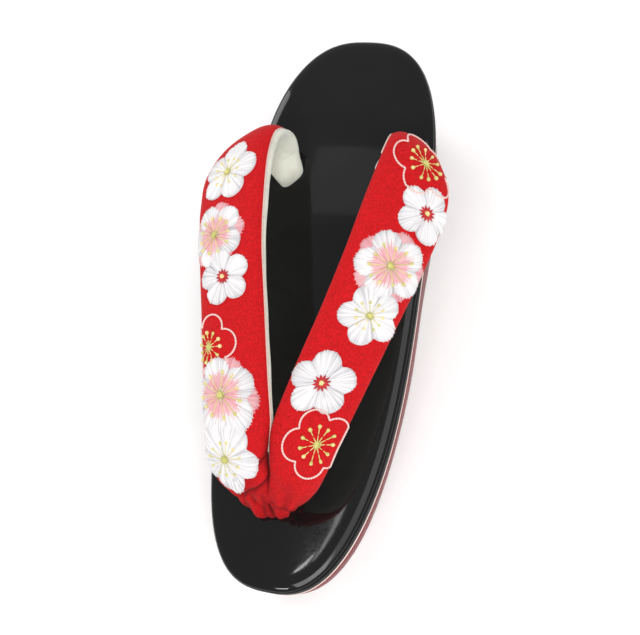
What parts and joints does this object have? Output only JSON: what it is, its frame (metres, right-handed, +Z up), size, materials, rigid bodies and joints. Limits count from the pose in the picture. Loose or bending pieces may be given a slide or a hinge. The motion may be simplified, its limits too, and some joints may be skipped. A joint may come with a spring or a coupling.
{
  "type": "platform zori sandal",
  "caption": "Platform zori sandal: glossy black deck on a red wedge sole with a pale edge line, and a padded V strap in red crepe with plum-blossom embroidery.",
  "frame": {"origin": "centre of the bounding box on the floor, under the sole", "axes": "+X to the inner side of the foot, +Y from the toe towards the heel, +Z up"},
  "size_m": [0.1006, 0.24, 0.0872],
  "materials": {
    "outsole_sheet": "matt tan rubber sheet with a fine grain",
    "heel_rubber": "matt dark rubber",
    "red_enamel": "deep red glossy enamelled cover",
    "pale_trim": "pale pinkish cream piping, half matt",
    "black_enamel": "black patent enamel, mirror-like",
    "red_crepe": "red silk crepe with a fine pebbled grain",
    "cream_velvet": "cream velvet lining with a short nap",
    "white_thread": "white satin-stitch silk thread",
    "pink_thread": "pale pink satin-stitch silk thread",
    "gold_thread": "gold and yellow-green thread"
  },
  "bodies": {
    "root": {"outsole": "outsole_sheet", "heel_piece": "heel_rubber", "platform_body": "red_enamel", "edge_trim": "pale_trim", "deck": "black_enamel", "hanao_strap": "red_crepe", "toe_loop": "red_crepe"}
  },
  "joints": []
}
